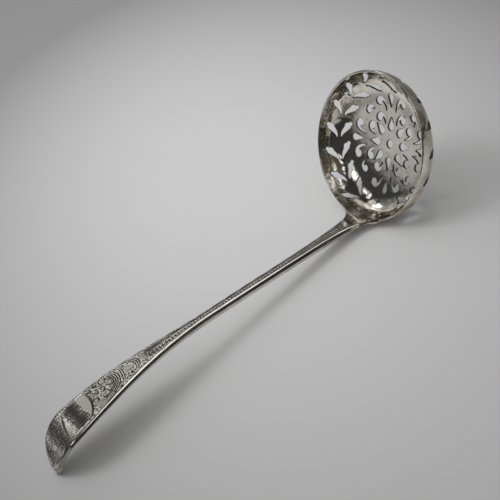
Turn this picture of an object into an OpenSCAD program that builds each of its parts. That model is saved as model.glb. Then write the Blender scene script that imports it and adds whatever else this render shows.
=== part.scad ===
// Sifter spoon: a round pierced bowl and a long arched handle, forged and
// cast as one piece of silver. It lies as it comes to rest, on the side of
// its bowl and on the turned-down end of its handle, with the opening of the
// bowl leaning over towards the handle.
//
// The bowl is drawn upright, with its rim in the plane z = 0 and its handle
// towards -X, and the whole spoon is then turned to its resting tilt.

/* [Bowl] */
// Outer diameter of the rim
bowl_d = 52; // [44:0.5:62]
// Outer depth from the rim to the underside of the floor
bowl_depth = 11.8; // [9:0.1:16]
// Thickness of the sheet
wall = 0.8; // [0.7:0.05:1.2]
// Fullness of the side, from 2 for a plain ellipse to 4 for a flat floor
bowl_fullness = 3; // [2.4:0.1:3.6]
// Rounding of the outer edge of the rim
rim_round = 0.35; // [0.1:0.05:0.4]

/* [Piercing of the floor] */
// Diameter of the round hole in the middle
eye_d = 2.9; // [1.8:0.1:3.6]
// Petals round the middle hole
petal_count = 8; // [6:2:10]
// Distance from the middle to the round end of a petal
petal_in = 4.7; // [4.4:0.1:5.4]
// Distance from the middle to the point of a petal
petal_out = 9.4; // [8.6:0.1:9.6]
// Width of a petal
petal_w = 2.8; // [1.8:0.1:3]
// Distance from the middle to the heads of the inner scrolls
inner_scroll_out = 10.5; // [10.2:0.1:10.9]
// Width of the head of a scroll
scroll_w = 2.8; // [2:0.1:2.9]
// Distance from the middle to the heads of the outer scrolls
outer_scroll_out = 15.7; // [15.4:0.1:16]

/* [Piercing of the side] */
// Pairs of leaves in the full round, of which those under the handle are left out
leaf_pitch_count = 17; // [15:1:17]
// Distance of the lower leaves' heads from the middle, over the surface
lower_leaf = 20.4; // [20.2:0.1:20.8]
// Height of the upper leaves' heads above the lower ones, over the surface
leaf_rows = 6.4; // [6.2:0.1:6.8]
// Width of the head of a leaf
leaf_w = 2.5; // [1.8:0.1:2.7]

/* [Handle] */
// Length of the handle along its front face
handle_len = 141; // [120:1:170]
// Width of the stem at its narrowest
stem_w = 3.1; // [2.6:0.1:5]
// Thickness of the stem
stem_t = 3.4; // [2.4:0.1:4]
// Greatest width near the end
end_w = 16.6; // [11:0.2:20]
// Thickness at the widest place
end_t = 2.5; // [1.8:0.1:3]
// Width that the stem gains where it meets the rim
root_flare = 11.5; // [6:0.5:14]
// Radius of the fillets between stem and rim
root_fillet = 2.2; // [1.2:0.1:3.5]
// Width of the bevel along the front edges of the end
bevel_w = 0.4; // [0.2:0.05:0.5]
// Width that the bevel gains where the stem leaves the bowl
bevel_gain = 0.5; // [0:0.05:0.7]
// Angle of the stem above the plane of the rim
stem_angle = 69.2; // [55:0.2:80]
// Angle that the outer half of the handle bows down through
bow_angle = 17.3; // [8:0.1:26]
// Angle that the end turns down through
end_turn = 61; // [30:1:68]
// Length of the rounded end
end_round = 17.8; // [12:0.1:22]

/* [Hidden] */
$fn = 64;

r_out = bowl_d / 2;
r_in = r_out - wall;

// Where the repeats of the pattern stand, in degrees from the far side of the rim
rosette_turn = 2;
leaf_turn = 2;
leaf_span = 150;

// General helpers
function clamp01(t) = max(0, min(1, t));
function smooth(t) = let (c = clamp01(t)) c * c * (3 - 2 * c);
function sum_to(v, n) = n < 0 ? 0 : v[n] + sum_to(v, n - 1);

// Side of the bowl: a point [radius, depth] of the outer profile and its
// outward normal, for a direction from 0 at the rim to 90 under the floor
profile_steps = 9;
function outer_at(a) =
    let (k = pow(pow(cos(a), bowl_fullness) + pow(sin(a), bowl_fullness), -1 / bowl_fullness))
    [r_out * cos(a) * k, bowl_depth * sin(a) * k];
function normal_at(a) =
    let (p = outer_at(a),
         n = [pow(p[0] / r_out, bowl_fullness - 1) / r_out,
              pow(p[1] / bowl_depth, bowl_fullness - 1) / bowl_depth])
    n / norm(n);
function inner_at(a) = outer_at(a) - wall * normal_at(a);
outer_profile = [for (i = [0:profile_steps]) outer_at(90 * i / profile_steps)];
inner_profile = [for (i = [0:profile_steps]) inner_at(90 * i / profile_steps)];

// Middle surface of the sheet by the distance from the centre of the floor,
// as the tables from distance to radius and from distance to depth
mid_steps = 60;
mid_profile = [for (i = [0:mid_steps])
    let (a = 90 - 90 * i / mid_steps) outer_at(a) - wall / 2 * normal_at(a)];
mid_legs = [for (i = [1:mid_steps]) norm(mid_profile[i] - mid_profile[i - 1])];
mid_radius = [for (i = [0:mid_steps]) [sum_to(mid_legs, i - 1), mid_profile[i][0]]];
mid_depth = [for (i = [0:mid_steps]) [sum_to(mid_legs, i - 1), mid_profile[i][1]]];
function sheet_point(s, phi) =
    let (r = lookup(s, mid_radius))
    [r * cos(phi), r * sin(phi), -lookup(s, mid_depth)];

// Bowl as a solid of revolution, and the hollow that is cut from it. Above
// the rim the hollow closes in as a cone, so that it leaves the handle whole.
hollow_cone = 8;
module bowl_block() {
    rim_steps = 4;
    lip = [for (i = [0:rim_steps])
        let (a = 90 * i / rim_steps)
        [r_out - rim_round + rim_round * sin(a), -rim_round + rim_round * cos(a)]];
    side = [for (i = [1:profile_steps]) [outer_profile[i][0], -outer_profile[i][1]]];
    rotate_extrude()
        polygon(concat([[0, 0]], lip, side));
}
module bowl_hollow() {
    rotate_extrude()
        polygon(concat(
            [[0, hollow_cone]],
            [for (p = inner_profile) [p[0], -p[1]]]));
}

// Centre line of the handle's front face: it leaves the rim along the wall,
// bends to the angle of the stem, bows over and turns down at its end. The
// places along it are those of a handle of drawn_len, and move with the length.
// At the rim it stands a hair behind the inner surface of the bowl.
front_back = 0.04;
handle_step = 1;
root_bend = 4;
drawn_len = 143;
bow_from = 67;
bow_to = 142;
turn_from = 122.6;
turn_to = 142;
len_scale = handle_len / drawn_len;
function slope_at(s) =
    stem_angle + (90 - stem_angle) * exp(-max(0, s) / root_bend)
    - bow_angle * smooth((s / len_scale - bow_from) / (bow_to - bow_from))
    - end_turn * smooth((s / len_scale - turn_from) / (turn_to - turn_from));
route_n = ceil(handle_len / handle_step);
route_step = handle_len / route_n;
function route(i, x, z, out) =
    i > route_n ? out :
    let (a = slope_at((i + 0.5) * route_step))
    route(i + 1, x - route_step * cos(a), z + route_step * sin(a),
          concat(out, [[i * route_step, x, z]]));
route_points = route(0, -r_in - front_back, 0, []);
route_x = [for (p = route_points) [p[0], p[1]]];
route_z = [for (p = route_points) [p[0], p[2]]];
wall_table = [for (p = inner_profile) [p[1], p[0]]];
function centre_at(s) = s < 0 ? [-lookup(-s, wall_table), s] : [lookup(s, route_x), lookup(s, route_z)];

// Half width of the handle by distance from the rim
flare_reach = 4.4;
widen_from = 67;
widen_to = 136;
tongue = 6;
tongue_taper = 0.75;
end_fullness = 1.35;
tip_share = 0.03;
function fillet_at(s) =
    s >= root_fillet ? 0 : root_fillet - sqrt(pow(root_fillet, 2) - pow(root_fillet - max(0, s), 2));
function half_width(s) =
    let (body = stem_w / 2
            + root_flare / 2 / (1 + max(0, s) / flare_reach)
            + (end_w - stem_w) / 2 * smooth((s / len_scale - widen_from) / (widen_to - widen_from)),
         cap = clamp01((s - handle_len + end_round) / end_round),
         heel = clamp01(-s / tongue))
    (body + fillet_at(s)) * sqrt(max(pow(tip_share, 2), 1 - pow(cap, end_fullness)))
    * sqrt(1 - tongue_taper * heel * heel);

// Thickness in the middle and at the side edges. The tongue at the root thins
// out into the bowl, and the handle thins towards its end.
root_t = 2;
tongue_t = wall * 0.6;
thicken_to = 12;
thin_from = 80;
thin_to = 130;
tip_loss = 0.2;
root_edge = wall * 0.8;
stem_edge = stem_t * 0.42;
end_edge = 1;
edge_to = 6;
edge_thin_from = 90;
function thickness_at(s) =
    s < 0 ? root_t - (root_t - tongue_t) * smooth(-s / tongue)
          : root_t + (stem_t - root_t) * smooth(s / thicken_to)
            - (stem_t - end_t) * smooth((s / len_scale - thin_from) / (thin_to - thin_from))
            - end_t * tip_loss * smooth((s - handle_len + end_round) / end_round);
function edge_at(s) =
    s < 0 ? root_edge : root_edge + (stem_edge - root_edge) * smooth(s / edge_to)
            - (stem_edge - end_edge) * smooth((s / len_scale - edge_thin_from) / (thin_to - edge_thin_from));

// Near the rim the section is curved like the side of the bowl, and the tongue
// lies a little behind the inner surface
dish_to = 9;
inset_least = 0.02;
inset_most = 0.3;
inset_rate = 0.35;
function dish_at(s) = (1 - smooth(s / dish_to)) / r_in;
function inset_at(s) = s < 0 ? min(inset_most, inset_least - s * inset_rate) : 0;

// One cross section: a flat front with bevelled edges and a rounded back. Each
// entry is the place across, whether it is front, bevel or back, and the share
// of the way from the side edge to the middle of the back.
front_steps = 4;
back_steps = 6;
bevel_least = 0.04;
bevel_starts = 5;
bevel_narrows = [8, 58];
bevel_share = 0.35;
function bevel_at(s) =
    max(bevel_least, smooth(s / bevel_starts)
        * (bevel_w + bevel_gain * (1 - smooth((s - bevel_narrows[0]) / (bevel_narrows[1] - bevel_narrows[0])))));
section = concat(
    [[-1, 1, 0]],
    [for (i = [0:front_steps]) [-1 + 2 * i / front_steps, 0, 0]],
    [[1, 1, 0]],
    [for (i = [0:back_steps]) [cos(180 * i / back_steps), 2, sin(180 * i / back_steps)]]);
section_n = len(section);
function section_point(s, q) =
    let (c = centre_at(s), a = slope_at(s), w = half_width(s), k = dish_at(s),
         edge = edge_at(s), t = thickness_at(s), in = inset_at(s),
         bev = min(bevel_at(s), w / 2),
         y = q[1] == 0 ? q[0] * (w - bev) : q[0] * w,
         drop = min(bev, edge * bevel_share),
         d = (q[1] == 0 ? 0 : q[1] == 1 ? drop : edge + (t - edge) * q[2]) + in * min(1, q[1]),
         turn = k * y * 180 / PI,
         side = k > 0 ? sin(turn) * (1 / k + d) : y,
         rise = k > 0 ? (1 - cos(turn)) / k - d * cos(turn) : -d,
         lift = q[1] == 0 ? rise + in : rise + in * (1 - min(1, q[1])))
    [c[0] + sin(a) * lift, side, c[1] + cos(a) * lift];

// Distances of the cross sections from the rim, close together in the tongue,
// the fillets and the rounded end
tongue_n = 6;
fillet_n = 8;
neck_n = 6;
neck_to = 14;
stem_n = 20;
end_n = 12;
stations = concat(
    [for (i = [tongue_n:-1:1]) -tongue * pow(i / tongue_n, 1.4)],
    [for (i = [0:fillet_n]) root_fillet * pow(i / fillet_n, 2)],
    [for (i = [1:neck_n]) root_fillet + (neck_to - root_fillet) * i / neck_n],
    [for (i = [1:stem_n]) neck_to + (handle_len - end_round - neck_to) * i / stem_n],
    [for (i = [1:end_n]) handle_len - end_round + end_round * sin(90 * i / end_n)]);
root_n = tongue_n + fillet_n + 4;
last_n = end_n + 2;

module handle() {
    n = len(stations);
    sides = [for (i = [0:n - 2]) for (j = [0:section_n - 1])
        let (a = i * section_n + j, b = i * section_n + (j + 1) % section_n)
        for (t = [[a, b + section_n, b], [a, a + section_n, b + section_n]]) t];
    first = [for (j = [0:section_n - 1]) j];
    last = [for (j = [section_n - 1:-1:0]) (n - 1) * section_n + j];
    polyhedron(points = handle_points, faces = concat(sides, [first, last]), convexity = 8);
}

// Piercings. Each is drawn on the unrolled sheet, where a point lies at its
// distance over the surface from the middle of the floor, and is cut square
// through the sheet at its own place.
cut_reach = 2.4;
tip_w = 0.22;
head_n = 10;
tail_n = 5;
function on_map(s, phi) = s * [cos(phi), sin(phi)];
function left_of(v) = [-v[1], v[0]];
function disc(c, r, n) = [for (i = [0:n - 1]) c + r * [cos(360 * i / n), sin(360 * i / n)]];
function curve_at(p, k) =
    pow(1 - k, 3) * p[0] + 3 * k * pow(1 - k, 2) * p[1] + 3 * k * k * (1 - k) * p[2] + pow(k, 3) * p[3];

// Outline of a tail along a curve, from its full width to its point
function side_of(line, i) =
    let (v = line[min(i + 1, len(line) - 1)] - line[max(i - 1, 0)]) left_of(v) / norm(v);
function tail_outline(bends, w, taper) =
    let (line = [for (i = [0:tail_n]) curve_at(bends, i / tail_n)],
         half = [for (i = [0:tail_n]) w / 2 * pow(1 - i / tail_n, taper) + tip_w / 2])
    concat(
        [for (i = [0:tail_n]) line[i] + half[i] * side_of(line, i)],
        [for (i = [tail_n:-1:0]) line[i] - half[i] * side_of(line, i)]);

// One hole made of overlapping outlines on the unrolled sheet
module piercing(outlines, place) {
    s = norm(place);
    phi = atan2(place[1], place[0]);
    anchor = sheet_point(s, phi);
    run = sheet_point(s + 0.2, phi) - sheet_point(s - 0.2, phi);
    slope = atan2(run[2], norm([run[0], run[1]]));
    along = [cos(slope) * cos(phi), cos(slope) * sin(phi), sin(slope)];
    across = [-sin(phi), cos(phi), 0];
    translate(anchor)
        rotate([0, -slope, phi])
            linear_extrude(height = 2 * cut_reach, center = true)
                for (outline = outlines)
                    polygon([for (p = outline)
                        let (d = sheet_point(norm(p), atan2(p[1], p[0])) - anchor) [d * along, d * across]]);
}

// A straight drop in the nearly flat floor, from its round head to its point
module straight_drop(head, point, phi, w) {
    anchor = sheet_point((head + point) / 2, phi);
    translate([0, 0, anchor[2]])
        rotate([0, 0, phi])
            linear_extrude(height = 2 * cut_reach, center = true)
                hull() {
                    translate([head, 0])
                        circle(d = w, $fn = 14);
                    translate([point, 0])
                        circle(d = tip_w, $fn = 4);
                }
}

// A scroll: a round head, and a tail that leaves it on its outer side and
// swings round and back towards the middle. The tail ends reach[0] further
// out and reach[1] to the side of the head.
scroll_tail = 0.6;
scroll_taper = 0.9;
module scroll(s, phi, side, reach, w) {
    r = w / 2;
    head = on_map(s, phi);
    out = on_map(1, phi);
    across = side * left_of(out);
    bends = [[0.4 * r, 0.2 * r],
             [0.65 * r, r + 0.45 * reach[1]],
             [0.42 * reach[0], 1.05 * r + 0.6 * reach[1]],
             reach];
    line = [for (b = bends) head + b[0] * out + b[1] * across];
    piercing([disc(head, r, head_n), tail_outline(line, w * scroll_tail, scroll_taper)], head);
}

// Rosette of the floor: the eye, its petals, and scrolls that stand in
// mirrored pairs beside every second petal, with long drops between them and
// a scroll beyond each of the other petals
inner_scroll_at = 32.5;
inner_reach = [-3.3, 1.5];
outer_scroll_at = 21.5;
outer_reach = [-4.1, 2.2];
corner_in = 0.6;
corner_share = 0.86;
corner_reach = [-1.4, 2.3];
spear_out = 0.95;
spear_in = 2.6;
spear_share = 0.89;
module floor_piercing() {
    translate([0, 0, -bowl_depth + wall / 2])
        cylinder(d = eye_d, h = 2 * cut_reach, center = true);
    petal_pitch = 360 / petal_count;
    for (i = [0:petal_count - 1])
        straight_drop(petal_in + petal_w / 2, petal_out, rosette_turn + i * petal_pitch, petal_w);
    for (i = [0:petal_count / 2 - 1]) {
        axis = rosette_turn + 2 * i * petal_pitch;
        for (side = [-1, 1]) {
            scroll(inner_scroll_out, axis + side * inner_scroll_at, -side, inner_reach, scroll_w);
            scroll(outer_scroll_out, axis + side * outer_scroll_at, -side, outer_reach, scroll_w);
        }
        straight_drop(outer_scroll_out + spear_out, outer_scroll_out - spear_in, axis, scroll_w * spear_share);
        scroll(outer_scroll_out - corner_in, axis + petal_pitch, -1, corner_reach, scroll_w * corner_share);
    }
}

// A leaf of the border: a round body with a small lobe at its head, and a tail
// that swings into the direction of the border. Lobe and tail are given by
// their distance beyond the body and their degrees round the bowl.
lobe_n = 6;
lobe_share = 0.3;
leaf_taper = 0.8;
leaf_lead = 0.4;
leaf_swing = 1.7;
module leaf(s, phi, lobe, tail, w) {
    body = on_map(s, phi);
    point = on_map(s + tail[0], phi + tail[1]);
    swing = point - leaf_swing * left_of(on_map(1, phi + tail[1]));
    piercing([disc(body, w / 2, head_n),
              disc(on_map(s + lobe[0], phi + lobe[1]), w * lobe_share, lobe_n),
              tail_outline([body, body + leaf_lead * (point - body), swing, point], w * leaf_taper, leaf_taper)],
             body * 0.6 + point * 0.4);
}

// Border of the side: pairs of leaves whose tails run together
upper_at = -1.8;
upper_lobe = [1.1, -1.9];
upper_tail = [-2.7, 9.3];
lower_at = -4.6;
lower_lobe = [-0.95, -3.2];
lower_tail = [2.1, 11.8];
module side_piercing() {
    pitch = 360 / leaf_pitch_count;
    side_pairs = floor(leaf_span / pitch);
    for (i = [-side_pairs:side_pairs]) {
        pair = leaf_turn + i * pitch;
        leaf(lower_leaf + leaf_rows, pair + upper_at, upper_lobe, upper_tail, leaf_w);
        leaf(lower_leaf, pair + lower_at, lower_lobe, lower_tail, leaf_w);
    }
}

// Resting tilt, found so that the lowest places of bowl and handle end both
// lie on the surface, and the place of the resting spoon over the origin
handle_points = [for (s = stations) for (q = section) section_point(s, q)];
root_points = [for (i = [0:root_n * section_n]) handle_points[i]];
end_points = [for (i = [len(handle_points) - last_n * section_n:len(handle_points) - 1]) handle_points[i]];
function bowl_reach(a) = max(concat(
    [for (p = outer_profile) p[0] * sin(a) + p[1] * cos(a)],
    [for (p = root_points) -p[0] * sin(a) - p[2] * cos(a)]));
function end_low(a) = min([for (p = end_points) p[0] * sin(a) + p[2] * cos(a)]);
function find_tilt(lo, hi, n) =
    let (mid = (lo + hi) / 2)
    n == 0 ? mid :
    end_low(mid) + bowl_reach(mid) > 0 ? find_tilt(mid, hi, n - 1) : find_tilt(lo, mid, n - 1);
rest_tilt = find_tilt(20, 88, 26);
rest_lift = bowl_reach(rest_tilt);
far_x = max([for (p = outer_profile) p[0] * cos(rest_tilt) + p[1] * sin(rest_tilt)]);
near_x = min([for (p = end_points) p[0] * cos(rest_tilt) - p[2] * sin(rest_tilt)]);

module sifter_spoon() {
    color("silver")
        translate([-(far_x + near_x) / 2, 0, rest_lift])
            rotate([0, -rest_tilt, 0])
                difference() {
                    union() {
                        bowl_block();
                        handle();
                    }
                    bowl_hollow();
                    floor_piercing();
                    side_piercing();
                }
}

sifter_spoon();
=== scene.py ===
import bpy
import bmesh
import math
import random
import numpy as np
from mathutils import Vector, Matrix
from mathutils.geometry import delaunay_2d_cdt


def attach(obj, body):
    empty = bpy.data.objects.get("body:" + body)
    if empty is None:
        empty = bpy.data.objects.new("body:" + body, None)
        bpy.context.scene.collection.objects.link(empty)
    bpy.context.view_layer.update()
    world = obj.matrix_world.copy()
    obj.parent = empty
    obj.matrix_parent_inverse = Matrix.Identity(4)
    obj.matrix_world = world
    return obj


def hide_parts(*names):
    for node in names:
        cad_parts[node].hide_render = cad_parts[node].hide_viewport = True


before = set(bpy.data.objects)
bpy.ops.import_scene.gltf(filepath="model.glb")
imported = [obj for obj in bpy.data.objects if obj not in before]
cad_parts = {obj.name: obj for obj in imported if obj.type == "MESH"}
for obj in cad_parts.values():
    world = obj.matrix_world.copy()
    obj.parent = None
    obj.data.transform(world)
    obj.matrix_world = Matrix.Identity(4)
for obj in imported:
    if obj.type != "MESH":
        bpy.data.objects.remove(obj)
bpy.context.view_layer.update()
mm = 0.001

# How the spoon lies: it is drawn upright in millimetres, with its rim level and its handle towards -X,
# and is then tilted onto the side of its bowl and the end of its handle
rest = {"tilt": 62.2242, "lift": 24.881, "shift": 63.8596}


def smooth(t):
    c = np.clip(t, 0, 1)
    return c * c * (3 - 2 * c)


def lay(points, turnOnly=False):
    t = math.radians(rest["tilt"])
    x = points[:, 0] * math.cos(t) - points[:, 2] * math.sin(t)
    z = points[:, 0] * math.sin(t) + points[:, 2] * math.cos(t)
    if turnOnly:
        return np.stack([x, points[:, 1], z], 1)
    return np.stack([x + rest["shift"], points[:, 1], z + rest["lift"]], 1) * mm


def placed(data):
    # an object in the scene that shows a mesh, a lamp or a camera
    item = bpy.data.objects.new(data.name, data)
    bpy.context.scene.collection.objects.link(item)
    return item


# Lines on flat metal
class FlatWork:
    # collects cut lines and loose points, and fills them with triangles
    def __init__(self):
        self.points, self.lines = [], []

    def line(self, pts, closed=False):
        first, n = len(self.points), len(pts)
        self.points += [(float(p[0]), float(p[1])) for p in pts]
        count = n if closed else n - 1
        self.lines += [(first + i, first + (i + 1) % n) for i in range(count)]

    def triangles(self, loose, gap):
        # loose points that lie closer to a line than the gap are left out
        beside = set()
        for a, b in self.lines:
            p, q = np.array(self.points[a]), np.array(self.points[b])
            steps = max(1, int(np.hypot(*(q - p)) / (gap * 0.5)))
            for k in range(steps + 1):
                r = (p + (q - p) * k / steps) / gap
                beside.add((round(r[0]), round(r[1])))
        free = [p for p in loose if (round(p[0] / gap), round(p[1] / gap)) not in beside]
        coords = [Vector(p) for p in self.points] + [Vector((float(p[0]), float(p[1]))) for p in free]
        out = delaunay_2d_cdt(coords, self.lines, [], 0, 1e-5, False)
        verts = np.array([tuple(v) for v in out[0]])
        tris = np.array([f for f in out[2] if len(f) == 3])
        return verts, tris


def inside(points, loop):
    # even-odd test of many points against one closed outline
    x, y = points[:, 0], points[:, 1]
    hit = np.zeros(len(points), bool)
    low, high = loop.min(0), loop.max(0)
    near = (x >= low[0]) & (x <= high[0]) & (y >= low[1]) & (y <= high[1])
    px, py = x[near], y[near]
    odd = np.zeros(len(px), bool)
    for (ax, ay), (bx, by) in zip(loop, np.roll(loop, -1, 0)):
        if ay == by:
            continue
        odd ^= ((ay > py) != (by > py)) & (px < (bx - ax) * (py - ay) / (by - ay) + ax)
    hit[near] = odd
    return hit


def curve(p0, p1, p2, p3, n):
    t = np.linspace(0, 1, n)[:, None]
    p0, p1, p2, p3 = (np.asarray(p, float) for p in (p0, p1, p2, p3))
    return (1 - t) ** 3 * p0 + 3 * t * (1 - t) ** 2 * p1 + 3 * t * t * (1 - t) * p2 + t ** 3 * p3


def leftOf(line):
    d = np.gradient(line, axis=0)
    d /= np.maximum(np.linalg.norm(d, axis=1), 1e-9)[:, None]
    return np.stack([-d[:, 1], d[:, 0]], 1)


def polar(s, degrees):
    return np.array([s * math.cos(math.radians(degrees)), s * math.sin(math.radians(degrees))])


# The pierced bowl. Lengths are in millimetres and angles in degrees.
bowl = {
    "rimRadius": 26.0, "depth": 11.735, "fullness": 3.0, "wall": 0.8,
    "rimRound": 0.36, "holeRound": 0.19, "meshStep": 0.72, "meshGap": 0.2, "merge": 0.035,
    "eye": 1.45, "petals": 8, "petalIn": 4.7, "petalOut": 9.4, "petalWidth": 2.8, "turn": 2,
    "groups": 4, "dropIn": 13.1, "dropOut": 17.9, "dropWidth": 2.5, "point": 0.11,
    # each head and each end of a tail: distance from the middle or the head, and angle or sideways shift
    "innerHead": (10.5, 32.5), "innerTail": (-3.3, 1.5),
    "outerHead": (15.7, 21.5), "outerTail": (-4.1, 2.2),
    "cornerHead": (15.1, 45), "cornerTail": (-1.4, 2.3), "headWidth": 2.8, "cornerWidth": 2.4,
    # each leaf: its body, its lobe and its tail
    "upperLeaf": ((26.8, -1.8), (1.1, -1.9), (-2.7, 9.3)),
    "lowerLeaf": ((20.4, -4.6), (-0.95, -3.2), (2.1, 11.8)),
    "leafPairs": 7, "leafPitch": 360 / 17, "leafWidth": 2.5, "leafSwing": 1.7,
}


# the bowl's section from the middle of its floor to the rim: outer face, its direction, middle of the sheet
sectionTurn = np.radians(np.linspace(90, 0, 4000))
full = bowl["fullness"]
swell = (np.cos(sectionTurn) ** full + np.sin(sectionTurn) ** full) ** (-1 / full)
outR, outD = bowl["rimRadius"] * np.cos(sectionTurn) * swell, bowl["depth"] * np.sin(sectionTurn) * swell
nR = (outR / bowl["rimRadius"]) ** (full - 1) / bowl["rimRadius"]
nD = (outD / bowl["depth"]) ** (full - 1) / bowl["depth"]
nR, nD = nR / np.hypot(nR, nD), nD / np.hypot(nR, nD)
midR, midD = outR - bowl["wall"] / 2 * nR, outD - bowl["wall"] / 2 * nD
sheetS = np.concatenate([[0], np.cumsum(np.hypot(np.diff(midR), np.diff(midD)))])
rimS = sheetS[-1]


def bendBowl(flat):
    # flat x, y and height above the middle of the sheet, to the upright bowl
    s = np.hypot(flat[:, 0], flat[:, 1])
    phi = np.arctan2(flat[:, 1], flat[:, 0])
    nr, nd = np.interp(s, sheetS, nR), np.interp(s, sheetS, nD)
    r = np.interp(s, sheetS, midR) - nr * flat[:, 2]
    d = np.interp(s, sheetS, midD) - nd * flat[:, 2]
    normals = np.stack([-nr * np.cos(phi), -nr * np.sin(phi), nd], 1)
    return np.stack([r * np.cos(phi), r * np.sin(phi), -d], 1), normals


def disc(centre, radius, n=26):
    t = np.linspace(0, 2 * math.pi, n, endpoint=False)
    return np.stack([centre[0] + radius * np.cos(t), centre[1] + radius * np.sin(t)], 1)


def ribbon(line, half):
    side = leftOf(line) * half[:, None]
    return np.concatenate([line + side, (line - side)[::-1]])


def drop(head, point, width):
    # a round head with straight flanks that run to a point
    head, point = np.asarray(head), np.asarray(point)
    along = (point - head) / np.hypot(*(point - head))
    head = head + along * width / 2
    turn = math.acos((width / 2 - bowl["point"]) / np.hypot(*(point - head)))
    start = math.atan2(along[1], along[0])
    back = np.linspace(turn, 2 * math.pi - turn, 24) + start
    end = np.linspace(-turn, turn, 5) + start
    return np.concatenate([head + width / 2 * np.stack([np.cos(back), np.sin(back)], 1),
                           point + bowl["point"] * np.stack([np.cos(end), np.sin(end)], 1)])


def tailRibbon(bends, half, taper):
    t = np.linspace(0, 1, 18)
    return ribbon(curve(*bends, 18), half * (1 - t) ** taper + bowl["point"])


def scroll(place, side, tail, width):
    # a round head, and a tail that swings round its outer side and back in
    head, r = polar(*place), width / 2
    out = polar(1, place[1])
    axes = np.array([out, np.array([-out[1], out[0]]) * side])
    bends = [(r * 0.4, r * 0.2), (r * 0.65, r + tail[1] * 0.45),
             (tail[0] * 0.42, r * 1.05 + tail[1] * 0.6), tail]
    return [disc(head, r), tailRibbon([head + np.array(b) @ axes for b in bends], r * 0.6, 0.9)]


def leafHole(pair, kind):
    # a round body with a small lobe at its head and a tail that swings round
    (s, at), lobe, tail = bowl[kind]
    width = bowl["leafWidth"]
    body, point = polar(s, pair + at), polar(s + tail[0], pair + at + tail[1])
    out = polar(1, pair + at + tail[1])
    swing = point - bowl["leafSwing"] * np.array([-out[1], out[0]])
    return [disc(body, width / 2), disc(polar(s + lobe[0], pair + at + lobe[1]), width * 0.3, 18),
            tailRibbon([body, body + 0.4 * (point - body), swing, point], width * 0.4, 0.8)]


def bowlHoles():
    # the eye, the petals round it, four groups of scrolls each with a drop, and the leaves of the wall
    p = bowl
    holes = [disc((0, 0), p["eye"], 30)]
    for i in range(p["petals"]):
        axis = p["turn"] + 360 / p["petals"] * i
        holes.append(drop(polar(p["petalIn"], axis), polar(p["petalOut"], axis), p["petalWidth"]))
    for i in range(p["groups"]):
        axis = p["turn"] + 360 / p["groups"] * i
        holes.append(drop(polar(p["dropOut"], axis), polar(p["dropIn"], axis), p["dropWidth"]))
        for side in (-1, 1):
            for kind in ("inner", "outer"):
                s, turn = p[kind + "Head"]
                holes += scroll((s, axis + side * turn), -side, p[kind + "Tail"], p["headWidth"])
        s, turn = p["cornerHead"]
        holes += scroll((s, axis + turn), -1, p["cornerTail"], p["cornerWidth"])
    for i in range(-p["leafPairs"], p["leafPairs"] + 1):
        pair = p["turn"] + i * p["leafPitch"]
        holes += leafHole(pair, "upperLeaf") + leafHole(pair, "lowerLeaf")
    return holes


def flatSheet():
    # the round sheet laid flat, with its openings left out, as vertices and triangles
    holes = bowlHoles()
    flat = FlatWork()
    for loop in holes:
        flat.line(loop, closed=True)
    flat.line(disc((0, 0), rimS, 300), closed=True)
    loose, s, row = [], bowl["meshStep"], 0
    while s < rimS - 0.5:
        n = max(6, round(2 * math.pi * s / bowl["meshStep"]))
        for j in range(n):
            t = 2 * math.pi * (j + 0.5 * (row % 2)) / n
            loose.append((s * math.cos(t), s * math.sin(t)))
        s, row = s + bowl["meshStep"], row + 1
    verts, tris = flat.triangles(loose, bowl["meshGap"])
    middle = verts[tris].mean(1)
    keep = np.hypot(middle[:, 0], middle[:, 1]) < rimS
    for loop in holes:
        keep &= ~inside(middle, loop)
    return verts, tris[keep]


def sheetCorners(bm, atRim):
    # the sharp edges round the rim, or those round the openings
    picked = []
    for e in bm.edges:
        if len(e.link_faces) == 2 and abs(e.link_faces[0].normal.z - e.link_faces[1].normal.z) > 0.7:
            outer = all(math.hypot(v.co.x, v.co.y) > rimS - 0.02 for v in e.verts)
            if outer == atRim:
                picked.append(e)
    return picked


def ease(bm, edges, offset, segments):
    bmesh.ops.bevel(bm, geom=edges, offset=offset, offset_type="OFFSET", segments=segments,
                    profile=0.5, affect="EDGES", material=-1)


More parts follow.
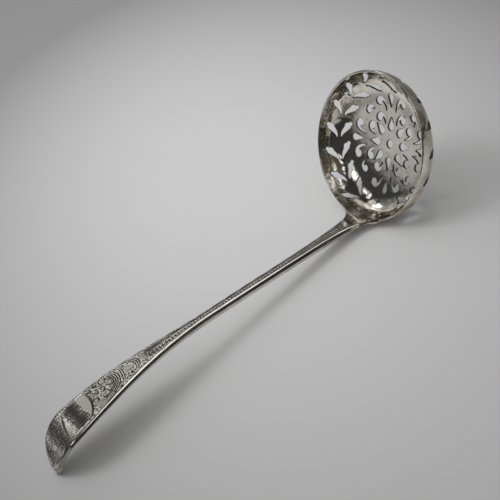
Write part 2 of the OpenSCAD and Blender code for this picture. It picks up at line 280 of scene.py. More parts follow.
def makeBowl():
    bm = bmesh.new()
    verts, tris = flatSheet()
    made = [bm.verts.new((x, y, -bowl["wall"] / 2)) for x, y in verts]
    for tri in tris:
        bm.faces.new([made[i] for i in tri])
    bmesh.ops.delete(bm, geom=[v for v in bm.verts if not v.link_faces], context="VERTS")
    bmesh.ops.remove_doubles(bm, verts=bm.verts, dist=bowl["merge"])
    raised = bmesh.ops.extrude_face_region(bm, geom=bm.faces[:], use_keep_orig=True)
    top = [g for g in raised["geom"] if isinstance(g, bmesh.types.BMVert)]
    bmesh.ops.translate(bm, verts=top, vec=(0, 0, bowl["wall"]))
    bmesh.ops.recalc_face_normals(bm, faces=bm.faces)
    ease(bm, sheetCorners(bm, False), bowl["holeRound"], 2)
    ease(bm, sheetCorners(bm, True), bowl["rimRound"], 4)
    bm.normal_update()
    co = np.array([tuple(v.co) for v in bm.verts])
    bm.verts.index_update()
    facing = np.zeros(len(co))  # 1 on the inner face, -1 on the outer face, 0 on every rounded edge
    for f in bm.faces:
        if abs(f.normal.z) > 0.999:
            for v in f.verts:
                facing[v.index] = 1 if f.normal.z > 0 else -1
    # the walls and lips of the openings are darkened, partly tarnish and partly painted shade, and the upper
    # wall is more uneven than the floor
    pierced, bumpsAndBrownReflection = bm.faces.layers.float.new("openingShadeAndTarnish"), bm.verts.layers.float.new("bumpsAndBrownReflection")
    for f in bm.faces:
        away = math.hypot(*f.calc_center_median().xy)
        if away > rimS - 1 or abs(f.normal.z) > 0.95:
            f[pierced] = 0.0
        else:
            f[pierced] = 1.0 if abs(f.normal.z) < 0.4 else 0.75
    # the same value lays more brown tarnish on the upper wall, a painted reflection
    for v in bm.verts:
        v[bumpsAndBrownReflection] = 0.25 + 0.75 * float(smooth((math.hypot(v.co.x, v.co.y) - 17) / 6))
    bent, normals = bendBowl(co)
    for v, place in zip(bm.verts, lay(bent)):
        v.co = place
    bmesh.ops.triangulate(bm, faces=bm.faces)
    bm.normal_update()
    own = np.array([tuple(v.normal) for v in bm.verts])
    ofSheet = lay(normals, turnOnly=True) * facing[:, None]
    mesh = bpy.data.meshes.new("piercedBowl")
    bm.to_mesh(mesh)
    bm.free()
    mesh.shade_smooth()
    final = np.where(facing[:, None] != 0, ofSheet, own)
    mesh.normals_split_custom_set_from_vertices([tuple(n) for n in final])
    return placed(mesh)


# The engraved handle
handle = {
    "length": 141.0, "drawnLength": 143.0, "rootBend": 4.0,
    "stemAngle": 69.2, "bowAngle": 17.3, "bow": (67, 142), "endTurn": 61.0, "turn": (122.6, 142),
    "stemWidth": 3.1, "flare": 11.5, "flareReach": 4.4, "fillet": 2.2, "tongue": 6.0,
    "widen": (67, 136), "endWidth": 16.6, "endRound": 17.8, "endFullness": 1.35, "sideBreadth": 0.72,
    "rootThick": 2.0, "stemThick": 3.4, "endThick": 2.5, "thickReach": 12, "thin": (80, 130),
    "sideDeep": (90, 130), "dishReach": 9, "rootBehind": 0.04, "sunk": 0.004,
    "meshStep": 0.62, "meshGap": 0.12,
    # the engraving: where it starts and ends along the handle, its margin, and the graver's cut
    "from": 9.0, "to": 139.6, "margin": 0.24, "cutStep": 0.3, "cutSlope": 0.7, "cutBreadth": 1.75, "seed": 7,
    # the reserve in the widest part: two curves for its outline, the box that it lies in
    # (start, end, half its breadth), and how far it is bare
    "reserve": (((114.6, 6.0), (113.4, 3), (113.9, -2.2), (117.4, -5.6)),
                ((125.9, -5.9), (126.0, -3), (124.9, 1), (122.6, 6.0))),
    "reserveBox": (113.4, 126.4, 6.4), "reserveBare": 117.4,
    # the painted shade on the handle's side deepens from here towards the tip, over this reach
    "tipShade": (127, 5),
}
drawnScale = handle["length"] / handle["drawnLength"]


def along(s, span):
    return smooth((s / drawnScale - span[0]) / (span[1] - span[0]))


def slopeAt(s):
    h = handle
    return np.radians(h["stemAngle"] + (90 - h["stemAngle"]) * np.exp(-np.maximum(0, s) / h["rootBend"])
                      - h["bowAngle"] * along(s, h["bow"]) - h["endTurn"] * along(s, h["turn"]))


# the handle's route in side view, from the inner edge of the rim outwards and up
routeStep = 0.25
routeS = np.arange(0, handle["length"] + 1e-6, routeStep)
legs = slopeAt(routeS[:-1] + routeStep / 2)
rootX = -(bowl["rimRadius"] - bowl["wall"] + handle["rootBehind"])
routeX = rootX - np.concatenate([[0], np.cumsum(routeStep * np.cos(legs))])
routeZ = np.concatenate([[0], np.cumsum(routeStep * np.sin(legs))])
# its tongue follows the inner face of the bowl
inR, inD = outR - bowl["wall"] * nR, outD - bowl["wall"] * nD


def halfWidth(s):
    h = handle
    body = h["stemWidth"] / 2 + h["flare"] / 2 / (1 + np.maximum(0, s) / h["flareReach"])
    body = body + (h["endWidth"] - h["stemWidth"]) / 2 * along(s, h["widen"])
    f, near = h["fillet"], np.clip(s, 0, h["fillet"])
    body = body + f - np.sqrt(f * f - (f - near) ** 2)
    cap = np.clip((s - h["length"] + h["endRound"]) / h["endRound"], 0, 1)
    heel = np.clip(-s / h["tongue"], 0, 1)
    return body * np.sqrt(np.maximum(0.0009, 1 - cap ** h["endFullness"])) * np.sqrt(1 - 0.75 * heel ** 2)


def thickness(s):
    h = handle
    root = h["rootThick"] - (h["rootThick"] - bowl["wall"] * 0.6) * smooth(-s / h["tongue"])
    cap = smooth((s - h["length"] + h["endRound"]) / h["endRound"])
    out = h["rootThick"] + (h["stemThick"] - h["rootThick"]) * smooth(s / h["thickReach"])
    out = out - (h["stemThick"] - h["endThick"]) * along(s, h["thin"]) - h["endThick"] * 0.2 * cap
    return np.where(s < 0, root, out)


def sideEdge(s):
    # how deep under the front the side is widest
    stem = handle["stemThick"] * 0.42
    root = bowl["wall"] * 0.8
    out = root + (stem - root) * smooth(s / 6) - (stem - 1.0) * along(s, handle["sideDeep"])
    return np.where(s < 0, root, out)


def bevelWidth(s):
    # almost nothing at the root, widest just past it and narrower along the stem
    return np.maximum(0.04, smooth(s / 5) * (0.4 + 0.5 * (1 - smooth((s - 8) / 50))))


def sideBreadth(s):
    # how far the front stands in from the widest part of the side
    return bevelWidth(s) * handle["sideBreadth"] / 0.4 * np.where(s > 40, 1, 0.7 + 0.3 * smooth(s / 40))


def bendHandle(flat):
    # flat distance from the rim, place across and depth under the front, to the upright spoon.
    # Near the root the front is dished to follow the round of the rim.
    s, y, d = flat[:, 0], flat[:, 1], flat[:, 2]
    cx = np.where(s < 0, -np.interp(-s, inD[::-1], inR[::-1]), np.interp(s, routeS, routeX))
    cz = np.where(s < 0, s, np.interp(s, routeS, routeZ))
    slope = slopeAt(s)
    dish = np.maximum((1 - smooth(s / handle["dishReach"])) / (bowl["rimRadius"] - bowl["wall"]), 1e-7)
    d = np.maximum(d, handle["sunk"]) + np.where(s < -0.4, np.minimum(0.3, (-s - 0.4) * 0.3), 0) * (d < 0.4)
    turn = dish * y
    side = np.sin(turn) * (1 / dish + d)
    lift = (1 - np.cos(turn)) / dish - d * np.cos(turn)
    points = np.stack([cx + np.sin(slope) * lift, side, cz + np.cos(slope) * lift], 1)
    normals = np.stack([np.sin(slope) * np.cos(turn), -np.sin(turn), np.cos(slope) * np.cos(turn)], 1)
    return points, normals


# The engraving, drawn on the unrolled front of the handle: distance from the rim and place across
cuts = []
reserveLoop = np.concatenate([curve(*points, 16) for points in handle["reserve"]])
# a map of the ground with small square cells marks where a cut has been laid
cell, mapHalf = 0.06, 9
mapSize = (int(146 / cell), int(2 * mapHalf / cell))
taken = np.zeros(mapSize, bool)


def fieldHalf(s):
    s = np.asarray(s, float)
    return halfWidth(s) - sideBreadth(s) - handle["margin"]


def cellsOf(pts):
    i = np.clip((pts[:, 0] / cell).astype(int), 0, mapSize[0] - 1)
    j = np.clip(((pts[:, 1] + mapHalf) / cell).astype(int), 0, mapSize[1] - 1)
    return i, j


def resample(pts, step):
    pts = np.asarray(pts, float)
    legs = np.hypot(*np.diff(pts, axis=0).T)
    run = np.concatenate([[0], np.cumsum(legs)])
    n = max(3, int(round(run[-1] / step)) + 1)
    at = np.linspace(0, run[-1], n)
    return np.stack([np.interp(at, run, pts[:, 0]), np.interp(at, run, pts[:, 1])], 1)


def engrave(pts, width, swell=0.5, mark=0.16, clip=True):
    # one cut of the graver, thin at both ends and widest at swell
    line = resample(pts, handle["cutStep"])
    if clip:
        ok = (line[:, 0] > handle["from"]) & (line[:, 0] < handle["to"])
        ok &= (np.abs(line[:, 1]) < fieldHalf(line[:, 0])) & ~inside(line, reserveLoop)
        if ok.sum() < 3:
            return
        first = int(np.argmax(ok))
        stop = first + int(np.argmin(np.append(ok[first:], False)))
        line = line[first:stop]
        if len(line) < 3:
            return
    t = np.linspace(0, 1, len(line))
    power = math.log(0.5) / math.log(swell)
    half = width * handle["cutBreadth"] / 2 * np.sin(math.pi * t ** power) ** 0.5
    half[0] = half[-1] = 0
    cuts.append((line, half))
    reach = int(mark / cell)
    i, j = cellsOf(resample(line, cell))
    for di in range(-reach, reach + 1):
        for dj in range(-reach, reach + 1):
            taken[np.clip(i + di, 0, mapSize[0] - 1), np.clip(j + dj, 0, mapSize[1] - 1)] = True


def spiral(centre, outer, inner, start, turns, n=26):
    t = np.linspace(0, 1, n)
    r = outer + (inner - outer) * t ** 0.85
    a = np.radians(start) + 2 * math.pi * turns * t
    return np.stack([centre[0] + r * np.cos(a), centre[1] + r * np.sin(a)], 1)


def arrow(angle, length):
    return length * np.array([math.cos(math.radians(angle)), math.sin(math.radians(angle))])


def daisy(centre, radius, petals=6):
    centre = np.asarray(centre, float)
    for i in range(petals):
        angle = 360 * i / petals
        root, tip = centre + arrow(angle, radius * 0.34), centre + arrow(angle, radius)
        out = arrow(angle + 90, radius * 0.26)
        for side in (1, -1):
            engrave(curve(root, root + side * out, tip + side * out * 1.3, tip, 7), 0.13, 0.6, 0.08)
    engrave(spiral(centre, radius * 0.26, radius * 0.24, 0, 1, 9), 0.12, 0.5, 0.1)


def sweep(points, width):
    # one cut on a smooth line through a few points
    line = np.asarray(points, float)
    last = len(line) - 1
    bends = []
    for i in range(last):
        before, after = line[max(i - 1, 0)], line[min(i + 2, last)]
        bends.append(curve(line[i], line[i] + (line[i + 1] - before) / 6,
                           line[i + 1] - (after - line[i]) / 6, line[i + 1], 9)[:-1])
    engrave(np.concatenate(bends + [line[-1:]]), width, 0.45, 0.14)


def drawStem():
    # slanting leaf strokes on the far side, and hooks and curls by turns on the near side
    s, n = handle["from"] + 0.5, 0
    while s < 91:
        reach = float(fieldHalf(s))
        wave = 0.25 * reach * math.sin(s * 0.42)
        lean = 0.75 + 0.2 * math.sin(s * 0.9)
        sweep([(s, wave * 0.3), (s + lean * 0.5, reach * 0.5 + wave * 0.4),
               (s + lean * 1.5, reach * 0.97)], 0.265)
        if n % 2:
            sweep([(s + 0.3, -0.1), (s + 0.9, -reach * 0.45), (s + 0.3, -reach * 0.95)], 0.265)
        else:
            curl = spiral((s + 0.45, -reach * 0.5), reach * 0.38, reach * 0.12, 100, 1.1, 14)
            engrave(curl, 0.17, 0.35, 0.1)
        if 14 < s < 30:
            engrave([(s - 0.2, -0.35), (s + 0.05, -0.3), (s + 0.3, -0.35)], 0.34, 0.5, 0.1)
        s, n = s + 0.64, n + 1


def drawFeathers():
    # feathered tips where the stem widens
    for y, reach in ((3.2, 3.6), (1.9, 4.6), (0.6, 5.0), (-0.7, 4.8), (-2.0, 4.0)):
        sweep([(87.6, y * 0.4), (90 + reach * 0.4, y * 0.8 - 0.25), (90 + reach, y + 0.2)], 0.22)
        sweep([(89.6, y * 0.7 + 0.4), (91 + reach * 0.4, y * 0.85 + 0.45), (90 + reach, y + 0.25)], 0.2)


def drawFlowerScroll():
    # lines round a group of flowers, with curls at their ends
    for gap in (0, 0.7, 1.4):
        sweep([(97.3 + gap, 3.9 - gap * 0.3), (95.6 + gap, 2.2), (95.2 + gap, 0), (96.1 + gap, -2.1),
               (98 + gap * 0.4, -3.6 + gap * 0.7)], 0.25)
    engrave(spiral((98.6, -2.5), 1.15, 0.2, -120, 1.5), 0.26, 0.3)
    engrave(spiral((101.2, -3.6), 1.0, 0.2, 170, -1.4), 0.24, 0.3)
    for centre, radius in (((99.1, 0.9), 0.85), ((100.3, -0.6), 0.8), ((98.2, -0.5), 0.5)):
        daisy(centre, radius)
    engrave(spiral((99.4, 3.3), 1.1, 0.2, 200, -1.4), 0.24, 0.3)
    for gap in (0, 0.75):
        sweep([(101.1 + gap, 4.8), (100.9 + gap * 0.9, 2.2), (101.2 + gap, 0), (102 + gap, -2.3),
               (103.4 + gap, -4.4)], 0.23)


def drawLargeScroll():
    # four lines sweep round and roll in at the lower end, and small curls and strokes fill them
    for gap in (0, 0.78, 1.52, 2.2):
        sweep([(104.2 + gap * 0.8, 5.7 - gap * 0.25), (103 + gap, 3.4), (102.7 + gap, 0.9),
               (103.7 + gap * 0.9, -1.9 + gap * 0.35), (106 + gap * 0.6, -4 + gap * 0.8),
               (109.2, -5.3 + gap * 0.95), (112.4 - gap * 0.2, -5 + gap * 0.9),
               (114.4 - gap * 0.6, -3.4 + gap * 0.4)], 0.3)
    engrave(spiral((113.1, -1.9), 1.75, 0.25, -75, 1.75, 40), 0.3, 0.3)
    engrave(spiral((107.5, 3.7), 1.75, 0.25, 150, -1.7, 40), 0.3, 0.3)
    curls = (((110.3, 4.9), 0.95, 200, 1.3), ((112.7, 4.7), 0.9, 20, -1.3), ((106.3, 0.5), 0.9, 120, 1.3),
             ((109.2, 0.9), 1.05, -60, -1.4), ((111.3, 1.5), 0.85, 100, 1.3), ((107.4, -1.7), 0.95, 60, -1.3),
             ((109.9, -2.3), 0.95, 200, 1.3), ((112.6, 1.9), 0.8, 0, 1.2), ((105.7, 2.4), 0.6, 0, 1.2))
    for centre, outer, start, turns in curls:
        engrave(spiral(centre, outer, 0.15, start, turns, 26), 0.26, 0.35)
        sweep([np.add(centre, (-outer * 1.1, -outer * 0.6)), np.add(centre, (0, -outer * 1.35)),
               np.add(centre, (outer * 1.2, -outer * 0.5))], 0.24)


def drawReserve():
    # a double outline, a bare strip at its near end and crossed hatching beyond it
    for grow in (0.0, 0.42):
        part = reserveLoop + np.array([grow, 0]) * np.sign(reserveLoop[:, :1] - 120)
        engrave(part[:len(part) // 2 + 1], 0.28, 0.5, 0.14, clip=False)
        engrave(part[len(part) // 2:], 0.28, 0.5, 0.14, clip=False)
    for k in range(26):
        y = -5.6 + 0.45 * k
        hatch = [(117.2 + 0.4 * math.sin(k * 1.9), y), (120.5, y + 0.1), (123.3 + 0.5 * math.sin(k), y)]
        engrave(hatch, 0.25 + 0.03 * math.sin(k * 2.3), 0.5, 0.1, clip=False)
    for k in range(9):
        s = 117.6 + 0.6 * k
        upper = [(s, 5.5), (s + 0.2, 2.6 + math.sin(k * 2.1)), (s - 0.1, 0.2 + math.sin(k * 1.3))]
        lower = [(s, -5.5), (s - 0.2, -3.6 + math.sin(k)), (s + 0.1, -0.9 + math.sin(k * 1.7))]
        engrave(upper, 0.2, 0.5, 0.1, clip=False)
        engrave(lower, 0.2, 0.5, 0.1, clip=False)


def drawTip():
    # dense curls, long blades and a pear with a flower in it
    for k in range(7):
        centre = (127.9 + 0.5 * math.cos(k * 2), -5.4 + 1.8 * k)
        engrave(spiral(centre, 0.95, 0.15, 60 * k, 1.4 if k % 2 else -1.4), 0.26, 0.35)
    for k in range(5):
        centre = (130.3 + 0.3 * math.sin(k * 3), -3.9 + 1.95 * k)
        engrave(spiral(centre, 0.85, 0.15, 90 * k, 1.3 if k % 2 else -1.3), 0.26, 0.35)
    for side in (1, -1):
        for k in range(6):
            sweep([(131.4 + 0.2 * k, side * (5.6 - 1.05 * k)), (133.8 + 0.25 * k, side * (4.6 - 0.85 * k)),
                   (136.2 + 0.35 * k, side * (2.9 - 0.5 * k))], 0.28)
    sweep([(131.6, 0.1), (132.6, 1.3), (134.4, 1.5), (136.4, 0.8), (138.2, 0),
           (136.4, -0.8), (134.4, -1.5), (132.6, -1.3), (131.6, -0.1)], 0.26)
    daisy((133.8, 0), 0.75)


def drawFill():
    # small curved cuts and dots in what is left of the ground
    rng = random.Random(handle["seed"])
    for size, tries in ((1.5, 6000), (1.0, 12000), (0.6, 14000)):
        for n in range(tries):
            s = rng.uniform(handle["from"], handle["to"])
            half = float(fieldHalf(s))
            y = rng.uniform(-half, half)
            angle = 40 * math.sin(s * 0.55) + 70 * y / max(half, 0.5) + rng.uniform(-25, 25)
            angle += 180 if rng.random() < 0.5 else 0
            bend = rng.choice((-1, 1)) * rng.uniform(0.25, 0.5)
            p = np.array((s, y)) - arrow(angle, size / 2)
            q = p + arrow(angle, size)
            m = (p + q) / 2 + arrow(angle + 90, size * bend)
            line = curve(p, m, m, q, 7)
            i, j = cellsOf(resample(line, cell))
            if not taken[i, j].any():
                engrave(line, 0.18 + size * 0.05, 0.4, 0.24)


def layCuts():
    # the ornament comes first, then the fill keeps clear of it and of the reserve
    drawFeathers()
    drawFlowerScroll()
    drawLargeScroll()
    drawReserve()
    drawTip()
    drawStem()
    start, end, across = handle["reserveBox"]
    grid = np.array([(x, y) for x in np.arange(start, end, cell * 0.9)
                     for y in np.arange(-across, across, cell * 0.9)])
    i, j = cellsOf(grid[inside(grid, reserveLoop)])
    taken[i, j] = True
    drawFill()
    # the edge line that frames the whole front, in short overlapping cuts
    straight = handle["length"] - handle["endRound"]
    sLine = np.concatenate([np.arange(6, straight, 0.5),
                            straight + (handle["endRound"] - 0.9) * np.sin(np.linspace(0, math.pi / 2, 40))])
    half = halfWidth(sLine) - sideBreadth(sLine) - 0.16
    for side in (1, -1):
        for first in range(0, len(sLine) - 4, 12):
            part = slice(first, first + 14)
            engrave(np.stack([sLine[part], side * half[part]], 1), 0.2, 0.5, 0.1, clip=False)
    print("engraved cuts:", len(cuts))


def cutDepths(verts):
    # how deep each vertex lies: a cut's walls slope down from its two edges to its middle line
    depth = np.zeros(len(verts))
    order = np.argsort(verts[:, 0])
    xs = verts[order, 0]
    for line, half in cuts:
        first, last = np.searchsorted(xs, (line[:, 0].min() - 0.2, line[:, 0].max() + 0.2))
        near = order[first:last]
        near = near[(verts[near, 1] > line[:, 1].min() - 0.2) & (verts[near, 1] < line[:, 1].max() + 0.2)]
        if not len(near):
            continue
        p, q = line[:-1], line[1:]
        v = verts[near][:, None]
        u = np.clip(((v - p) * (q - p)).sum(2) / ((q - p) ** 2).sum(1), 0, 1)
        gap = np.linalg.norm(v - (p + u[..., None] * (q - p)), axis=2)
        room = half[:-1] + u * (half[1:] - half[:-1]) - gap
        depth[near] = np.maximum(depth[near], handle["cutSlope"] * np.maximum(0, room.max(1) - 0.004))
    return depth


def flatFront():
    # the front laid flat, with both edges and the middle line of every cut among its edges
    h = handle
    straight = h["length"] - h["endRound"]
    stations = np.concatenate([
        -h["tongue"] * (np.arange(10, 0, -1) / 10) ** 1.4,
        h["fillet"] * (np.arange(0, 13) / 12) ** 2,
        np.linspace(h["fillet"], 14, 26)[1:],
        np.linspace(14, straight, 180)[1:],
        straight + h["endRound"] * np.sin(np.linspace(0, math.pi / 2, 44))[1:]])
    edge = halfWidth(stations) - np.minimum(sideBreadth(stations), halfWidth(stations) * 0.5)
    outline = np.concatenate([np.stack([stations, edge], 1), np.stack([stations, -edge], 1)[::-1]])
    flat = FlatWork()
    flat.line(outline, closed=True)
    for line, half in cuts:
        side = leftOf(line) * half[:, None]
        flat.line(line + side)
        flat.line(line - side)
        flat.line(line)
    loose = [(s, y) for s in np.arange(-h["tongue"], h["length"], h["meshStep"])
             for y in np.arange(-8.4, 8.5, h["meshStep"])]
    verts, tris = flat.triangles(loose, h["meshGap"])
    return verts, tris[inside(verts[tris].mean(1), outline)]


def drawOut(bm, cutLayer, fieldLayer, sideShadeLayer):
    # the edge of the front is drawn out over a flat chamfer, down the side and round the back
    # each row of the chamfer: share of the breadth, share of the depth
    chamfer = ((0.05, 0.01), (0.42, 0.24), (0.47, 0.28), (0.50, 0.33))
    rows = [("chamfer", step) for step in range(4)] + [("side", 0.86), ("side", 1)]
    rows += [("back", i / 9) for i in range(1, 10)]
    loop = [e for e in bm.edges if len(e.link_faces) == 1]
    for kind, share in rows:
        grown = bmesh.ops.extrude_edge_only(bm, edges=loop)["geom"]
        loop = [g for g in grown if isinstance(g, bmesh.types.BMEdge) and len(g.link_faces) == 1]
        ring = [g for g in grown if isinstance(g, bmesh.types.BMVert)]
        s = np.array([v.co.x for v in ring])
        sign = np.sign([v.co.y for v in ring])
        width, thick, edge = halfWidth(s), thickness(s), sideEdge(s)
        breadth = np.minimum(sideBreadth(s), width * 0.5)
        # dark is each row's share of painted shade and reflection on the handle's side: half on the chamfer's
        # last row, all on the side faces, a little round the back
        if kind == "chamfer":
            run, fall = chamfer[share]
            y, d = width - breadth * (1 - run), edge * fall
            dark = 0.5 if share == 3 else 0.0
        elif kind == "side":
            y, d = width - breadth * 0.5 * (1 - share) ** 0.8, edge * share
            dark = 1.0
        else:
            angle = share * math.pi / 2
            y, d = width * math.cos(angle), edge + (thick - edge) * math.sin(angle)
            dark = 0.4
        start, span = handle["tipShade"]
        for v, across, down in zip(ring, sign * y, d):
            v.co.y, v.co.z = across, -down
            v[cutLayer] = v[fieldLayer] = 0.0
            v[sideShadeLayer] = dark
            # towards the tip the painted shade deepens on the chamfer and the side
            if kind != "back":
                v[sideShadeLayer] = max(v[sideShadeLayer], float(smooth((v.co.x - start) / span)) * 1.2)
    for v in ring:
        v.co.y = 0.0


def makeHandle():
    layCuts()
    verts, tris = flatFront()
    depth = cutDepths(verts)
    bm = bmesh.new()
    cutLayer = bm.verts.layers.float.new("cutDepth")
    fieldLayer = bm.verts.layers.float.new("engravedField")
    bumpsAndBrownReflection, sideShadeLayer = bm.verts.layers.float.new("bumpsAndBrownReflection"), bm.verts.layers.float.new("paintedSideShade")
    made = {}
    fieldEdge = fieldHalf(verts[:, 0])
    bare = inside(verts, reserveLoop) & (verts[:, 0] < handle["reserveBare"])
    for i in np.unique(tris):
        v = bm.verts.new((verts[i, 0], verts[i, 1], -depth[i]))
        v[cutLayer] = depth[i]
        inField = abs(verts[i, 1]) < fieldEdge[i] + 0.1 and handle["from"] < verts[i, 0] < handle["to"]
        v[fieldLayer] = 1.0 if inField and not bare[i] else 0.0
        made[i] = v
    for tri in tris:
        bm.faces.new([made[i] for i in tri])
    bmesh.ops.recalc_face_normals(bm, faces=bm.faces)
    if sum(f.normal.z for f in bm.faces) < 0:
        bmesh.ops.reverse_faces(bm, faces=bm.faces)
    drawOut(bm, cutLayer, fieldLayer, sideShadeLayer)
    bmesh.ops.remove_doubles(bm, verts=bm.verts, dist=0.002)
    bmesh.ops.dissolve_degenerate(bm, edges=bm.edges, dist=0.001)
    bmesh.ops.triangulate(bm, faces=bm.faces)
    bmesh.ops.recalc_face_normals(bm, faces=bm.faces)
    bm.normal_update()
    co = np.array([tuple(v.co) for v in bm.verts])
    # highest at the neck, where it adds bumps and more brown tarnish, a painted reflection
    for v in bm.verts:
        v[bumpsAndBrownReflection] = 0.2 + 0.8 * float(1 - smooth((v.co.x - 2) / 12))
    # the plain front takes its normals from the formula, and each wall of a cut stays flat
    bm.verts.index_update()
    front = np.zeros(len(co), bool)
    inGroove = []
    for f in bm.faces:
        deep = max(v[cutLayer] for v in f.verts) > 0.003
        inGroove.append(deep)
        if not deep and f.normal.z > 0.999:
            for v in f.verts:
                front[v.index] = True
    bent, normals = bendHandle(co * (1, 1, -1))
    for v, place in zip(bm.verts, lay(bent)):
        v.co = place
    bmesh.ops.reverse_faces(bm, faces=bm.faces)
    bm.normal_update()
    own = np.array([tuple(v.normal) for v in bm.verts])
    final = np.where(front[:, None], lay(normals, turnOnly=True), own)
    mesh = bpy.data.meshes.new("engravedHandle")
    bm.to_mesh(mesh)
    bm.free()
    mesh.shade_smooth()
    loops = []
    for polygon, deep in zip(mesh.polygons, inGroove):
        for v in polygon.vertices:
            loops.append(tuple(polygon.normal) if deep else tuple(final[v]))
    mesh.normals_split_custom_set(loops)
    return placed(mesh)


# Materials
class Sock:
    # wraps a shader value so that it can be used in sums
    def __init__(self, tree, out):
        self.tree, self.out = tree, out

    def math(self, operation, first, second):
        node = self.tree.nodes.new("ShaderNodeMath")
        node.operation = operation
        for i, value in enumerate((first, second)):
            if isinstance(value, Sock):
                self.tree.links.new(value.out, node.inputs[i])
            else:
                node.inputs[i].default_value = value
        return Sock(self.tree, node.outputs[0])

    def __add__(self, other):
        return self.math("ADD", self, other)

    def __mul__(self, other):
        return self.math("MULTIPLY", self, other)

    def __sub__(self, other):
        return self.math("SUBTRACT", self, other)

    def __rsub__(self, other):
        return self.math("SUBTRACT", other, self)

    def __rpow__(self, other):
        return self.math("POWER", other, self)

    def most(self, other):
        return self.math("MAXIMUM", self, other)

    __radd__ = __add__
    __rmul__ = __mul__


class Finish:
    # a material whose nodes are added one by one
    def __init__(self, name):
        self.material = bpy.data.materials.new(name)
        self.material.use_nodes = True
        self.tree = self.material.node_tree
        self.shader = self.tree.nodes["Principled BSDF"]

    def node(self, kind, settings=None, values=None, out=0):
        node = self.tree.nodes.new(kind)
        for key, value in (settings or {}).items():
            setattr(node, key, value)
        for key, value in (values or {}).items():
            if isinstance(value, Sock):
                self.tree.links.new(value.out, node.inputs[key])
            else:
                node.inputs[key].default_value = value
        return Sock(self.tree, node.outputs[out])

    def feed(self, name, value):
        if isinstance(value, Sock):
            self.tree.links.new(value.out, self.shader.inputs[name])
        else:
            self.shader.inputs[name].default_value = value

    def blend(self, factor, first, second):
        return self.node("ShaderNodeMix", {"data_type": "RGBA"}, {0: factor, 6: first, 7: second}, 2)

    def noise(self, where, scale, detail=2.0, rough=0.5):
        return self.node("ShaderNodeTexNoise", {},
                         {"Vector": where, "Scale": scale, "Detail": detail, "Roughness": rough})

    def band(self, value, low, high):
        return self.node("ShaderNodeMapRange", {"interpolation_type": "SMOOTHSTEP"},
                         {"Value": value, "From Min": low, "From Max": high})


# Polished silver, warm where it has tarnished and browner on the upper bowl wall and the neck as a painted
# reflection, dark in the cuts, with painted shade on the walls and lips of the openings and on the handle's
# side
silver = {
    "bright": (0.90, 0.875, 0.81, 1), "tarnishAndBrownReflection": (0.44, 0.37, 0.28, 1), "dark": (0.045, 0.040, 0.034, 1),
    "ground": (0.24, 0.215, 0.18, 1), "roughness": 0.07, "waviness": 0.00024,
    "cloudScale": 90, "grainScale": 1500, "scratchScale": (240, 2600, 1500), "waveScales": (150, 420),
}


def silverFinish():
    f = Finish("polishedSilver")
    place = f.node("ShaderNodeTexCoord", out="Object")
    names = ("cutDepth", "engravedField", "openingShadeAndTarnish", "bumpsAndBrownReflection", "paintedSideShade")
    cutDepth, field, edge, bumpsAndBrownReflection, side = (f.node("ShaderNodeAttribute", {"attribute_name": name}, out="Fac")
                                           for name in names)
    cloud = f.noise(place, silver["cloudScale"], 4, 0.65)
    fine = f.noise(place, silver["grainScale"], 2, 0.6)
    stretched = f.node("ShaderNodeMapping", {},
                       {"Vector": place, "Scale": silver["scratchScale"], "Rotation": (0.2, 0.4, 0.6)})
    scratch = f.noise(stretched, 1.0, 2, 0.5)
    inCut = f.band(cutDepth, 0.0, 0.03)
    tarnish = f.band(cloud, 0.36, 0.66)
    # the warm colour is tarnish; on the upper bowl wall and the neck more of it is laid on, a painted
    # reflection of a dark brown room
    colour = f.blend(tarnish * (0.10 + 0.85 * bumpsAndBrownReflection), silver["bright"], silver["tarnishAndBrownReflection"])
    colour = f.blend(field * f.band(fine, 0.40, 0.7) * 0.45, colour, silver["ground"])
    # the handle's side takes the ground colour as painted shade and reflection
    colour = f.blend(side * (0.35 + 0.35 * tarnish), colour, silver["ground"])
    # dark in the cuts; on the walls and lips of the openings the dark is partly tarnish and partly painted
    # shade
    colour = f.blend((inCut * 0.9).most(edge * 0.85), colour, silver["dark"])
    f.feed("Base Color", colour)
    f.feed("Metallic", 1.0)
    rough = silver["roughness"] + 0.06 * tarnish + 0.06 * field + 0.2 * inCut + 0.25 * edge + 0.03 * scratch
    f.feed("Roughness", rough)
    broad, small = (f.noise(place, scale, 2, 0.5) for scale in silver["waveScales"])
    height = broad * bumpsAndBrownReflection * 3.0 + small * (0.2 + 0.6 * bumpsAndBrownReflection) + 0.02 * scratch + 0.55 * field * fine
    bump = f.node("ShaderNodeBump", {}, {"Height": height, "Strength": 0.6, "Distance": silver["waviness"]})
    f.feed("Normal", bump)
    return f.material


# The cloth it lies on, the light, the room and the camera
setting = {
    # the cloth: half its side, the logarithm of its tone (a painted pool of light) as a square function of x
    # and y in decimetres, its least tone, and from where on the near side it is painted dark in what the
    # metal shows
    "floor": {"size": 1.6, "log": (-0.637, 0.234, 0.138, -0.301, 0.135, -0.119),
              "far": 0.30, "nearShadeInReflection": (-2.0, -1.15)},
    "lamp": {"place": (-0.34, 0.26, 0.62), "aim": (0.02, 0, 0.01), "size": 0.34, "power": 1.95},
    # what lights the cloth, and the room that the metal shows: each patch has its direction (turn from +Y
    # towards +X, and height), its inner and outer spread, its strength and, under 1, how high it reaches
    "ambient": 0.87, "dark": 0.035,
    "patches": (((-48, 0), (10, 44), 0.40, 0.30), ((12, 34), (14, 36), 0.34, 1), ((88, 8), (15, 55), 0.16, 1),
                ((-170, 50), (12, 34), 0.08, 1), ((150, 48), (12, 26), 1.1, 1), ((30, 58), (12, 26), 0.9, 1),
                ((-120, 45), (3, 9), 2.0, 1), ((-78, 44), (3, 8), 2.2, 1), ((-48, 50), (2, 6), 1.4, 1),
                ((-14, 47), (3, 8), 1.4, 1)),
    "view": {"place": (-0.095165, -0.218923, 0.183975), "right": (0.73452, -0.59168, -0.33225),
             "up": (0.57986, 0.29296, 0.76022), "lens": 64.8},
}


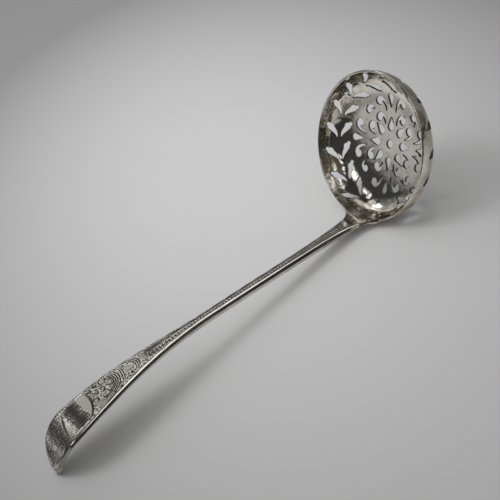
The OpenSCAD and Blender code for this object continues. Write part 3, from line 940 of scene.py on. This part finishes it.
def makeFloor():
    bm = bmesh.new()
    bmesh.ops.create_grid(bm, x_segments=8, y_segments=8, size=setting["floor"]["size"])
    mesh = bpy.data.meshes.new("floor")
    bm.to_mesh(mesh)
    bm.free()
    floor = placed(mesh)
    f = Finish("paleFloor")
    place = f.node("ShaderNodeTexCoord", out="Object")
    x, y = (f.node("ShaderNodeSeparateXYZ", {}, {0: place}, i) * 10 for i in (0, 1))  # in decimetres
    c = setting["floor"]["log"]
    # a painted pool of light: palest round the spoon and falling off to all sides, as lit cloth does
    paintedPool = math.e ** (c[0] + c[1] * x + c[2] * y + c[3] * x * x + c[4] * x * y + c[5] * y * y)
    # in what the metal shows, the cloth is painted dark towards the near side, a painted shade in its
    # reflections
    shown = f.node("ShaderNodeLightPath", out="Is Glossy Ray")
    nearShadeInReflection = f.band(y, *setting["floor"]["nearShadeInReflection"])
    paintedPool = paintedPool.most(setting["floor"]["far"]) * (1 - shown * (1 - nearShadeInReflection))
    f.feed("Base Color", f.blend(paintedPool, (0, 0, 0, 1), (1, 1, 1, 1)))
    f.feed("Roughness", 0.55)
    f.shader.inputs["Specular IOR Level"].default_value = 0.2
    floor.data.materials.append(f.material)


def makeLamp():
    # it lights the cloth, and the metal doesn't show it
    s = setting["lamp"]
    lamp = bpy.data.lights.new("lamp", "AREA")
    lamp.shape, lamp.size, lamp.energy = "SQUARE", s["size"], s["power"]
    light = placed(lamp)
    light.location = s["place"]
    light.visible_glossy = False
    light.rotation_euler = (Vector(s["aim"]) - Vector(s["place"])).to_track_quat("-Z", "Y").to_euler()


def makeWorld():
    world = bpy.data.worlds.new("room")
    bpy.context.scene.world = world
    world.use_nodes = True
    tree = world.node_tree
    coord = tree.nodes.new("ShaderNodeTexCoord")
    split = tree.nodes.new("ShaderNodeSeparateXYZ")
    tree.links.new(coord.outputs["Generated"], split.inputs[0])
    x, y, z = (Sock(tree, split.outputs[i]) for i in range(3))

    def rise(value, low, high):
        node = tree.nodes.new("ShaderNodeMapRange")
        node.interpolation_type = "SMOOTHSTEP"
        tree.links.new(value.out, node.inputs["Value"])
        node.inputs["From Min"].default_value, node.inputs["From Max"].default_value = low, high
        return Sock(tree, node.outputs[0])

    # a dim room with a pale horizon on the far left and small bright windows under its ceiling
    light = setting["dark"]
    for (turn, height), (inner, outer), strength, top in setting["patches"]:
        a, e = math.radians(turn), math.radians(height)
        toward = x * (math.sin(a) * math.cos(e)) + y * (math.cos(a) * math.cos(e)) + z * math.sin(e)
        patch = rise(toward, math.cos(math.radians(outer)), math.cos(math.radians(inner))) * strength
        if top < 1:
            patch = patch * (1 - rise(z, 0.12, top))
        light = patch + light
    path = tree.nodes.new("ShaderNodeLightPath")
    shown = Sock(tree, path.outputs["Is Glossy Ray"])
    # the cloth is lit most from the far left, so that the bowl shades what lies behind it
    ambient = setting["ambient"] * (0.25 + 1.0 * rise(y * 0.5 - x * 0.7 + z * 0.5, -0.4, 0.9))
    light = ambient + shown * (light - ambient)
    tree.links.new(light.out, tree.nodes["Background"].inputs["Strength"])
    tree.nodes["Background"].inputs["Color"].default_value = (1, 1, 1, 1)


def makeCamera():
    v = setting["view"]
    right, up = Vector(v["right"]).normalized(), Vector(v["up"]).normalized()
    cam = bpy.data.cameras.new("view")
    cam.lens, cam.sensor_width, cam.sensor_fit = v["lens"], 36, "HORIZONTAL"
    cam.clip_start = 0.01
    obj = placed(cam)
    turn = Matrix((right, up, right.cross(up))).transposed()
    obj.matrix_world = Matrix.Translation(v["place"]) @ turn.to_4x4()
    bpy.context.scene.camera = obj


makeCamera()
makeFloor()
makeLamp()
makeWorld()
bpy.context.scene.view_settings.view_transform = "Standard"
print("setting done")

finish = silverFinish()
for piece in (makeBowl(), makeHandle()):
    piece.data.materials.append(finish)
    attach(piece, "root")
    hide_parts("sifter_spoon")
    print(piece.name, "triangles:", sum(len(p.vertices) - 2 for p in piece.data.polygons))
